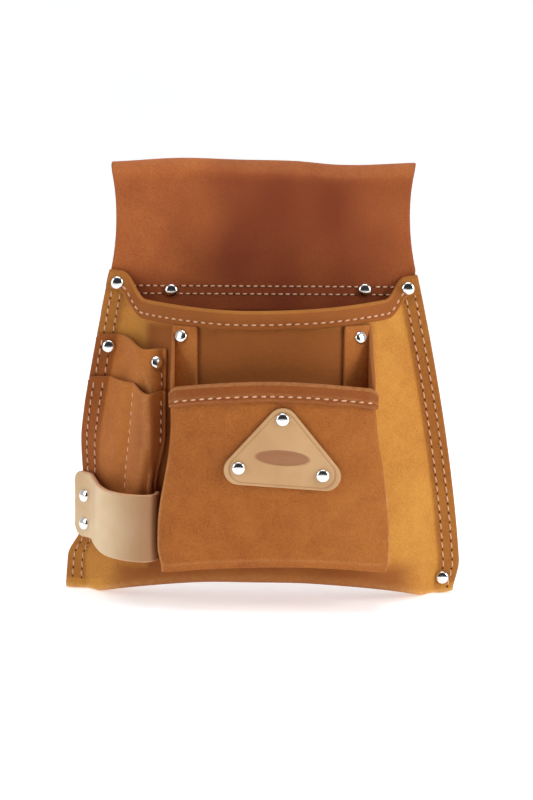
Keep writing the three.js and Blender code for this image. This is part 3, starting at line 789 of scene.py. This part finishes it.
def front_pocket():
    columns = 230
    stations = spline(pocket_route(FACE_RIM), columns)
    share = np.clip(stations[:, 2], 0, 1)
    slope = np.where(share > 0.965, 1.0, share / 0.965)
    rim = np.where(slope >= 1, face_rim(stations[:, 0]) - HEM + 1.5, lerp(FLANGE_TOP, FACE_RIM, slope))
    notch = smooth((slope - 0.93) / 0.07)
    rim = np.where(slope < 1, lerp(rim, FACE_RIM - HEM + 1.5, notch), rim)
    foot = face_foot(stations[:, 0])
    levels = np.linspace(FACE_FOOT - 2, FLANGE_TOP + 1, 60)
    routes = np.array([spline(pocket_route(z), columns) for z in levels])
    rows = []
    for v in np.linspace(0, 1, 120):
        z = lerp(rim, foot, v)
        index = (z - levels[0]) / (levels[1] - levels[0])
        low = np.clip(index.astype(int), 0, len(levels) - 2)
        mix = (index - low)[:, None]
        column = np.arange(columns)
        here = lerp(routes[low, column], routes[low + 1, column], mix)
        curl = 1.8 * smooth((v - 0.95) / 0.05) * share
        rows.append(place(here[:, 0], here[:, 1] - curl, z))
    middle = np.array(rows)
    inward = -grid_normals(middle) * (LEATHER / 2)
    facing = np.sign(inward[60, columns // 2, 1])
    obj = sheet("front_pocket_leather", middle + inward * facing, LEATHER, POCKET_SUEDE, wear_and_highlight=0.6)
    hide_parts("front_pocket")

    x = np.linspace(float(face_left(FACE_RIM)) - 0.5, float(face_right(FACE_RIM)) + 0.5, 150)
    end = np.clip(np.minimum(x - x[0], x[-1] - x) / 5, 0, 1)
    droop = 3.5 * (1 - end) ** 2
    top = face_rim(x) - droop
    radius = LAYER / 2
    centre = top - radius - LEATHER / 2
    ragged = 0.35 * ripple_edge(x, 200)
    rows = []

    def hem_row(z, offset):
        depth = face_outer(x, np.minimum(z, top)) - 1.2 * (1 - end) ** 2
        rows.append(place(x, depth + offset, z))

    for t in np.linspace(0, 1, 12):
        hem_row(lerp(face_rim(x) - HEM + ragged, centre, t), GAP + LEATHER / 2 + hem_puff(t))
    for turn in np.linspace(0.1, 0.9, 8):
        hem_row(centre + radius * math.sin(math.pi * turn), GAP / 2 + radius * math.cos(math.pi * turn))
    for t in np.linspace(0, 1, 10):
        hem_row(lerp(centre, face_rim(x) - HEM + 1.8, t), -LEATHER / 2)
    hem = sheet("front_pocket_hem", np.array(rows), LEATHER, POCKET_SUEDE, shade=0.6, wear_and_highlight=0.4)

    x = np.linspace(float(face_left(FACE_FOOT)) + 1.5, float(face_right(FACE_FOOT)) - 1.5, 90)
    rows = []
    for v in np.linspace(0, 1, 30):
        lift = 3.0 - 2.0 * math.sin(math.pi * v)
        z = face_foot(x) + lift
        depth = lerp(face_outer(x, z) - LEATHER - 1.6, front_outer(x, z) + GAP + 0.4, v)
        rows.append(place(x, depth, z))
    floor = sheet("front_pocket_floor", np.array(rows), LEATHER, POCKET_SUEDE)


# ---- badge ------------------------------------------------------------
def badge_back(x, z):
    return np.maximum(face_outer(15.0, z), face_outer(x, z)) + 0.45


def badge():
    corners = [np.array(c, float) for c in BADGE_ROUNDS]
    outline = []
    for i, corner in enumerate(corners):
        after = corners[(i + 1) % 3] - corner
        before = corner - corners[(i + 2) % 3]
        start = math.atan2(before[1], before[0]) - math.pi / 2
        end = math.atan2(after[1], after[0]) - math.pi / 2
        if end < start:
            end += math.tau
        for angle in np.linspace(start, end, 14):
            outline.append(corner + BADGE_RADIUS * np.array([math.cos(angle), math.sin(angle)]))
    outline = np.array(outline + outline[:1])
    run = np.concatenate([[0], np.cumsum(np.linalg.norm(np.diff(outline, axis=0), axis=1))])
    around = 180
    even = np.linspace(0, run[-1], around, endpoint=False)
    outline = np.stack([np.interp(even, run, outline[:, k]) for k in (0, 1)], axis=1)
    centre = outline.mean(axis=0)
    oval_centre = np.array([17.0, 109.0])
    tilt = math.radians(-3.5)
    rings = np.concatenate([np.linspace(0.02, 0.93, 56), [0.955, 0.975, 0.99, 1.0]])
    vertices = []
    pressed = []
    for side in ("front", "back"):
        for ring in rings:
            spots = centre + (outline - centre) * ring
            x, z = spots[:, 0], spots[:, 1]
            gone = (1 - ring) * 25
            rounding = 0.55 * max(0, 1 - gone / 1.2) ** 2
            if side == "back":
                vertices.append(place(x, badge_back(x, z) + rounding * 0.6, z))
                pressed += [0.0] * around
                continue
            along = (x - oval_centre[0]) * math.cos(tilt) + (z - oval_centre[1]) * math.sin(tilt)
            up = (z - oval_centre[1]) * math.cos(tilt) - (x - oval_centre[0]) * math.sin(tilt)
            q = np.sqrt((along / 19.5) ** 2 + (up / 5.6) ** 2)
            emboss = -0.75 * smooth((1 - q) / 0.14) + 0.3 * smooth((0.62 - q) / 0.3)
            crease = -0.25 * np.exp(-(((1 - ring) * 22 - 2.2) / 0.5) ** 2)
            vertices.append(place(x, badge_back(x, z) + LEATHER - rounding + emboss + crease, z))
            pressed += list(0.75 * smooth((1 - q) / 0.14) + 0.4 * (crease < -0.12))
    total = len(rings)
    faces = []
    for side in range(2):
        for r in range(total - 1):
            for a in range(around):
                b = (a + 1) % around
                base = side * total * around
                quad = (base + r * around + a, base + r * around + b,
                        base + (r + 1) * around + b, base + (r + 1) * around + a)
                faces.append(quad if side else quad[::-1])
        middle = tuple(side * total * around + a for a in range(around))
        faces.append(middle if side == 0 else middle[::-1])
    last_front = (total - 1) * around
    last_back = (2 * total - 1) * around
    for a in range(around):
        b = (a + 1) % around
        faces.append((last_front + a, last_front + b, last_back + b, last_back + a))
    vertices = np.vstack(vertices)
    obj = new_object("badge_leather", vertices, faces, [BADGE_TAN])
    edge = np.zeros(len(vertices))
    edge[(total - 1) * around:total * around] = 0.7
    edge[last_back:] = 1.0
    paint(obj, "cut_edge", edge)
    paint(obj, "shade", pressed)
    tidy_normals(obj)
    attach(obj, "root")
    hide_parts("badge")


# ---- rivets ------------------------------------------------------------
def tunnel_front(x, z):
    return LAYER + 0 * x


def corner_front(x, z):
    return front_outer(x, z) + LAYER + 0.5


def flange_front(x, z):
    return front_outer(x, z) + LAYER + 2.5 * GAP


def badge_front(x, z):
    return badge_back(x, z) + LEATHER


def strap_front(x, z):
    return lower_outer(x, z) + GAP + STRAP_LEATHER + 0.3


REAR = LEATHER
REAR_LEAF = LEATHER + LAYER
RIVETS = {
    "rivet_tunnel_left": (-63.4, 211.4, tunnel_front, REAR_LEAF, None),
    "rivet_tunnel_right": (70.7, 212.4, tunnel_front, REAR_LEAF, None),
    "rivet_corner_left": (-100.3, 217.2, corner_front, REAR_LEAF, None),
    "rivet_corner_right": (100.3, 214.4, corner_front, REAR_LEAF, None),
    "rivet_flange_left": (-53, 184.6, flange_front, None, 2 * LAYER + 1.6),
    "rivet_flange_right": (68, 183.6, flange_front, None, 2 * LAYER + 1.6),
    "rivet_tool_pocket_left": (-107, 172.6, upper_outer, REAR, None),
    "rivet_tool_pocket_right": (-69.6, 166.6, upper_outer, None, 2 * LAYER),
    "rivet_strap_upper": (-131, 66.5, strap_front, REAR, None),
    "rivet_strap_lower": (-131, 47, strap_front, REAR, None),
    "rivet_foot_right": (128.8, 12, front_outer, REAR_LEAF, None),
    "rivet_badge_1": (*BADGE_CORNERS[0], badge_front, None, 2 * LAYER + 0.4),
    "rivet_badge_2": (*BADGE_CORNERS[1], badge_front, None, 2 * LAYER + 0.4),
    "rivet_badge_3": (*BADGE_CORNERS[2], badge_front, None, 2 * LAYER + 0.4),
}


def surface_frame(depth_at, x, z, step=1.5):
    """Point and outward normal of a layer's front surface."""
    spots = place(np.array([x, x + step, x - step, x, x]),
                  depth_at(np.array([x, x + step, x - step, x, x], float),
                           np.array([z, z, z, z + step, z - step], float)),
                  np.array([z, z, z, z + step, z - step]))
    sideways = spots[1] - spots[2]
    upwards = spots[3] - spots[4]
    normal = np.cross(sideways, upwards)
    return spots[0], normal / np.linalg.norm(normal)


def rivet(name):
    x, z, depth_at, rear, under = RIVETS[name]
    spot, normal = surface_frame(depth_at, float(x), float(z), 2.5)
    depth = under if under is not None else float(depth_at(float(x), float(z))) + rear
    grip = depth * abs(normal[1])
    front = [(1.35, 0.0), (RIVET_CAP - 0.25, -0.05), (RIVET_CAP, 0.15), (RIVET_CAP - 0.05, 0.5)]
    for turn in np.linspace(0.08, 1, 11):
        angle = turn * math.pi / 2
        front.append(((RIVET_CAP - 0.15) * math.cos(angle) ** 0.9, 0.55 + 1.75 * math.sin(angle)))
    tail = -grip - 2 * GAP
    back = [(0.0, tail - 1.4), (1.4, tail - 1.38), (2.6, tail - 1.15), (3.6, tail - 0.75),
            (4.0, tail - 0.4), (3.9, tail), (1.35, tail)]
    profile = back + front
    profile[-1] = (0.0, profile[-1][1])
    helper = np.array([0.0, 0.0, 1.0])
    side = np.cross(helper, normal)
    side /= np.linalg.norm(side)
    other = np.cross(normal, side)
    segments = 40
    base = spot + normal * GAP
    vertices = []
    for radius, height in profile:
        for k in range(segments):
            angle = math.tau * k / segments
            spoke = math.cos(angle) * side + math.sin(angle) * other
            vertices.append(base + normal * height + radius * spoke)
    faces = []
    for r in range(len(profile) - 1):
        for k in range(segments):
            j = (k + 1) % segments
            faces.append((r * segments + k, r * segments + j, (r + 1) * segments + j, (r + 1) * segments + k))
    obj = new_object(name + "_nickel", np.array(vertices), faces, [NICKEL])
    tidy_normals(obj)
    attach(obj, "root")
    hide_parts(name)


# ---- stitches ------------------------------------------------------------
def stitch_row(name, route, depth_at, pitch, nodes=(), fill=0.66, radius=0.5, skip=(), holes=True,
               slant=0.12, lift=0.0):
    """One row of separate stitches: route(t) gives x and z, and skip lists spots that rivets cover."""
    draw = np.random.default_rng(sum(map(ord, name)))
    fine = np.array([route(t) for t in np.linspace(0, 1, 400)])
    points = place(fine[:, 0], depth_at(fine[:, 0], fine[:, 1]), fine[:, 1])
    run = np.concatenate([[0], np.cumsum(np.linalg.norm(np.diff(points, axis=0), axis=1))])
    count = max(2, round(run[-1] / pitch))
    step = run[-1] / count
    vertices = []
    faces = []
    kinds = []
    rings = 9
    sides = 8

    def at(distance):
        x = np.interp(distance, run, fine[:, 0])
        z = np.interp(distance, run, fine[:, 1])
        return surface_frame(depth_at, float(x), float(z)), x, z

    for i in range(count):
        middle = (i + 0.5) * step
        (_, _), mx, mz = at(middle)
        if any(math.hypot(mx - sx, mz - sz) < reach for sx, sz, reach in skip):
            continue
        span = step * (fill + draw.uniform(-0.04, 0.04))
        tilt = slant + draw.uniform(-0.05, 0.05)
        start = len(vertices)
        for ring in range(rings):
            t = ring / (rings - 1)
            (spot, normal), _, _ = at(middle + span * (t - 0.5))
            (ahead, _), _, _ = at(middle + span * (t - 0.5) + 0.3)
            along = ahead - spot
            along /= max(np.linalg.norm(along), 1e-9)
            sideways = np.cross(normal, along)
            arch = math.sin(math.pi * t) ** 0.6
            thick = radius * (0.45 + 0.55 * arch) * (1 + 0.08 * math.sin(t * 22))
            centre = spot + normal * (radius * (1.15 * arch - 0.75) + lift)
            centre = centre + sideways * tilt * span * (t - 0.5)
            for k in range(sides):
                angle = math.tau * k / sides
                spoke = math.cos(angle) * sideways * 1.2 + math.sin(angle) * normal
                vertices.append(centre + thick * spoke)
        for ring in range(rings - 1):
            for k in range(sides):
                j = (k + 1) % sides
                a, b = start + ring * sides, start + (ring + 1) * sides
                faces.append((a + k, a + j, b + j, b + k))
                kinds.append(0)
        faces.append(tuple(start + k for k in range(sides))[::-1])
        faces.append(tuple(start + (rings - 1) * sides + k for k in range(sides)))
        kinds += [0, 0]
    if holes:
        for i in range(count + 1):
            (spot, normal), hx, hz = at(min(i * step, run[-1] - 0.01))
            if any(math.hypot(hx - sx, hz - sz) < reach for sx, sz, reach in skip):
                continue
            (ahead, _), _, _ = at(min(i * step, run[-1] - 0.01) - 0.3)
            along = spot - ahead
            along /= max(np.linalg.norm(along), 1e-9)
            sideways = np.cross(normal, along)
            start = len(vertices)
            size = draw.uniform(0.62, 0.82)
            for level, (reach, height) in enumerate(((1.0, -0.3), (0.96, 0.05), (0.5, 0.1))):
                for k in range(10):
                    angle = math.tau * k / 10
                    offset = reach * size * (1.15 * math.cos(angle) * along + math.sin(angle) * sideways)
                    vertices.append(spot + offset + normal * (height + lift))
            for level in range(2):
                for k in range(10):
                    j = (k + 1) % 10
                    a, b = start + level * 10, start + (level + 1) * 10
                    faces.append((a + k, a + j, b + j, b + k))
                    kinds.append(1)
            faces.append(tuple(start + 20 + k for k in range(10)))
            faces.append(tuple(start + k for k in range(10))[::-1])
            kinds += [1, 1]
    obj = new_object(name, np.array(vertices), faces, [THREAD, HOLE])
    obj.data.polygons.foreach_set("material_index", kinds)
    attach(obj, "root")
    if nodes:
        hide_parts(*nodes)


OUTER_ROW = 4.0
INNER_ROW = 10.4
LEFT_PITCH = 6.4
RIGHT_PITCH = 6.6
HEM_PITCH = 5.8
TUNNEL_PITCH = 5.0
HEM_ROW = HEM - 3.2
CAP_REACH = 5.4


def side_row(side, inset, high, low):
    def route(t):
        z = lerp(high, low, t)
        return side * (half_width(z) - inset), z

    return route


def rim_row(below, reach):
    def route(t):
        u = lerp(-reach, reach, t)
        z = rim_height(u) - below
        return float(across(u, z)), float(z)

    return route


def face_row(below):
    def route(t):
        x = float(lerp(face_left(FACE_RIM) + 1.5, face_right(FACE_RIM) - 1.5, t))
        return x, float(face_rim(x)) - below

    return route


def rim_hem_surface(x, z):
    return front_outer(x, z) + LAYER + 0.35


def face_hem_surface(x, z):
    return face_outer(x, z) + LAYER + 0.35


def level_row(reach, z):
    def route(t):
        return lerp(-reach, reach, t), z

    return route


def edge_row(x_at, high, low):
    def route(t):
        z = lerp(high, low, t)
        return float(x_at(z)), z

    return route


def pocket_edge(z):
    return pocket_right(z) - 2.6


def pocket_edge_high(z):
    return -66.6


# Side seams: name, side, inset, top, bottom, surface, pitch, the CAD threads it stands for, rivets beside it.
SIDE_ROWS = (
    ("left_outer_high", -1, OUTER_ROW, 212, 182, front_outer, LEFT_PITCH, ["thread_left_outer_top"],
     ["rivet_corner_left"]),
    ("left_inner_high", -1, INNER_ROW, 210, 182, front_outer, LEFT_PITCH, [], ["rivet_corner_left"]),
    ("left_outer_mid", -1, OUTER_ROW, 178.5, 153, upper_outer, LEFT_PITCH, [], ["rivet_tool_pocket_left"]),
    ("left_inner_mid", -1, INNER_ROW, 178.5, 153, upper_outer, LEFT_PITCH, [], ["rivet_tool_pocket_left"]),
    ("left_outer_low", -1, OUTER_ROW, 149, 82, lower_outer, LEFT_PITCH, ["thread_left_outer"], []),
    ("left_inner_low", -1, INNER_ROW, 149, 82, lower_outer, LEFT_PITCH, ["thread_left_inner"], []),
    ("left_foot_outer", -1, OUTER_ROW, 37, 9, front_outer, LEFT_PITCH, ["thread_left_foot"], []),
    ("left_foot_inner", -1, INNER_ROW, 38, 8, front_outer, LEFT_PITCH, [], []),
    ("right_outer", 1, OUTER_ROW, 213, 5.5, front_outer, RIGHT_PITCH, ["thread_right_outer"],
     ["rivet_corner_right", "rivet_foot_right"]),
    ("right_inner", 1, INNER_ROW, 208, 12, front_outer, RIGHT_PITCH, ["thread_right_inner"],
     ["rivet_corner_right", "rivet_foot_right"]),
)


def all_stitches():
    def around(*rivet_names):
        return [(*RIVETS[rivet_name][:2], CAP_REACH) for rivet_name in rivet_names]

    for name, side, inset, high, low, surface, pitch, nodes, rivets in SIDE_ROWS:
        stitch_row("stitches_" + name, side_row(side, inset, high, low), surface, pitch, nodes,
                   skip=around(*rivets))
    tunnel_rivets = around("rivet_tunnel_left", "rivet_tunnel_right")
    stitch_row("stitches_tunnel_upper", level_row(97, 214.6), tunnel_front, TUNNEL_PITCH,
               ["thread_tunnel_upper"], skip=tunnel_rivets, slant=0.05)
    stitch_row("stitches_tunnel_lower", level_row(99, 209.2), tunnel_front, TUNNEL_PITCH,
               ["thread_tunnel_lower"], skip=tunnel_rivets, slant=0.05)
    stitch_row("stitches_rim_hem", rim_row(HEM_ROW, 0.93), rim_hem_surface, HEM_PITCH, ["thread_rim_hem"],
               radius=0.56, slant=0.06, skip=around("rivet_corner_left", "rivet_corner_right"))
    stitch_row("stitches_pocket_hem", face_row(HEM_ROW), face_hem_surface, HEM_PITCH,
               ["thread_pocket_hem"], radius=0.56, slant=0.06)
    stitch_row("stitches_slot_divider", edge_row(slot_stitch, 147, 78), lower_outer, RIGHT_PITCH,
               ["thread_slot_divider"])
    stitch_row("stitches_pocket_edge_low", edge_row(pocket_edge, 143, 112), lower_outer, RIGHT_PITCH,
               ["thread_pocket_edge"])
    stitch_row("stitches_pocket_edge_high", edge_row(pocket_edge_high, 161, 149), upper_outer, LEFT_PITCH)


# ---- scene ------------------------------------------------------------
front_panel()
back_panel()
belt_tunnel()
tool_pocket("upper_tool_pocket_leather", "upper_tool_pocket", upper_outer, upper_top, POCKET_SUEDE)
tool_pocket("lower_tool_pocket_leather", "lower_tool_pocket", lower_outer, lower_top, POCKET_SUEDE)
front_pocket()
tool_strap()
badge()
for rivet_name in RIVETS:
    rivet(rivet_name)
all_stitches()


FLOOR_GLOW = 0.5
SWEEP_RADIUS = 0.9


def floor_material():
    n = Nodes("pale_floor")
    tint = n.ramp(n.noise(3, 2, 0.5), [(0.3, (0.88, 0.885, 0.89)), (0.7, (0.91, 0.915, 0.92))])
    n.link(tint, n.shader.inputs["Base Color"])
    n.shader.inputs["Roughness"].default_value = 0.8
    n.link(tint, n.shader.inputs["Emission Color"])
    n.shader.inputs["Emission Strength"].default_value = FLOOR_GLOW
    return n.material




def floor_sweep():
    """A pale floor that curves up into the backdrop far behind the pouch."""
    profile = [(-3.0, 0.0), (1.2, 0.0)]
    for turn in np.linspace(0, math.pi / 2, 16)[1:]:
        profile.append((1.2 + SWEEP_RADIUS * math.sin(turn), SWEEP_RADIUS * (1 - math.cos(turn))))
    profile.append((1.2 + SWEEP_RADIUS, 3.5))
    reach = 4.0
    vertices = [(side * reach, y, z) for y, z in profile for side in (-1, 1)]
    faces = [(2 * i, 2 * i + 1, 2 * i + 3, 2 * i + 2) for i in range(len(profile) - 1)]
    floor = new_object("floor", np.array(vertices) / MM, faces, [floor_material()])


def soft_light(name, where, target, size, power, colour=(1, 1, 1)):
    data = bpy.data.lights.new(name, "AREA")
    data.shape = "RECTANGLE"
    data.size, data.size_y = size
    data.energy = power
    data.color = colour
    lamp = bpy.data.objects.new(name, data)
    lamp.location = where
    lamp.rotation_euler = (Vector(target) - Vector(where)).to_track_quat("-Z", "Y").to_euler()
    bpy.context.scene.collection.objects.link(lamp)


def studio():
    """A white room that is dim towards the front, as around a photographer."""
    world = bpy.data.worlds.new("studio")
    world.use_nodes = True
    tree = world.node_tree
    sky = tree.nodes["Background"]
    spot = tree.nodes.new("ShaderNodeTexCoord")
    split = tree.nodes.new("ShaderNodeSeparateXYZ")
    ramp = tree.nodes.new("ShaderNodeValToRGB")
    ramp.color_ramp.elements[0].position = 0.1
    ramp.color_ramp.elements[0].color = (0.06, 0.06, 0.065, 1)
    ramp.color_ramp.elements[1].position = 0.32
    ramp.color_ramp.elements[1].color = (0.95, 0.96, 1.0, 1)
    remap = tree.nodes.new("ShaderNodeMapRange")
    remap.inputs["From Min"].default_value = -1
    tree.links.new(spot.outputs["Generated"], split.inputs["Vector"])
    tree.links.new(split.outputs["Y"], remap.inputs["Value"])
    tree.links.new(remap.outputs["Result"], ramp.inputs["Fac"])
    tree.links.new(ramp.outputs["Color"], sky.inputs["Color"])
    sky.inputs["Strength"].default_value = 0.55
    bpy.context.scene.world = world
    soft_light("key_right", (1.1, -0.55, 0.6), (0, 0, 0.15), (0.45, 0.8), 8.5, (1, 0.98, 0.95))
    soft_light("fill_left", (-1.1, -0.6, 0.6), (0, 0, 0.15), (0.45, 0.8), 4.5, (1, 0.98, 0.95))
    soft_light("top", (0, -0.15, 1.4), (0, 0, 0.1), (1.0, 0.6), 6)


def camera():
    azimuth = math.radians(3.0)
    elevation = math.radians(10.0)
    distance = 1300 * MM
    target = np.array([4.5 + SHIFT_X, -25.0 + SHIFT_Y, 141.0 + SHIFT_Z]) * MM
    back = np.array([math.sin(azimuth) * math.cos(elevation), -math.cos(azimuth) * math.cos(elevation),
                     math.sin(elevation)])
    data = bpy.data.cameras.new("camera")
    data.sensor_width = 36
    data.sensor_fit = "AUTO"
    data.lens = 86.03
    eye = bpy.data.objects.new("camera", data)
    eye.location = target + distance * back
    eye.rotation_euler = Vector(-back).to_track_quat("-Z", "Y").to_euler()
    bpy.context.scene.collection.objects.link(eye)
    bpy.context.scene.camera = eye


floor_sweep()
studio()
camera()
bpy.context.scene.view_settings.view_transform = "Standard"
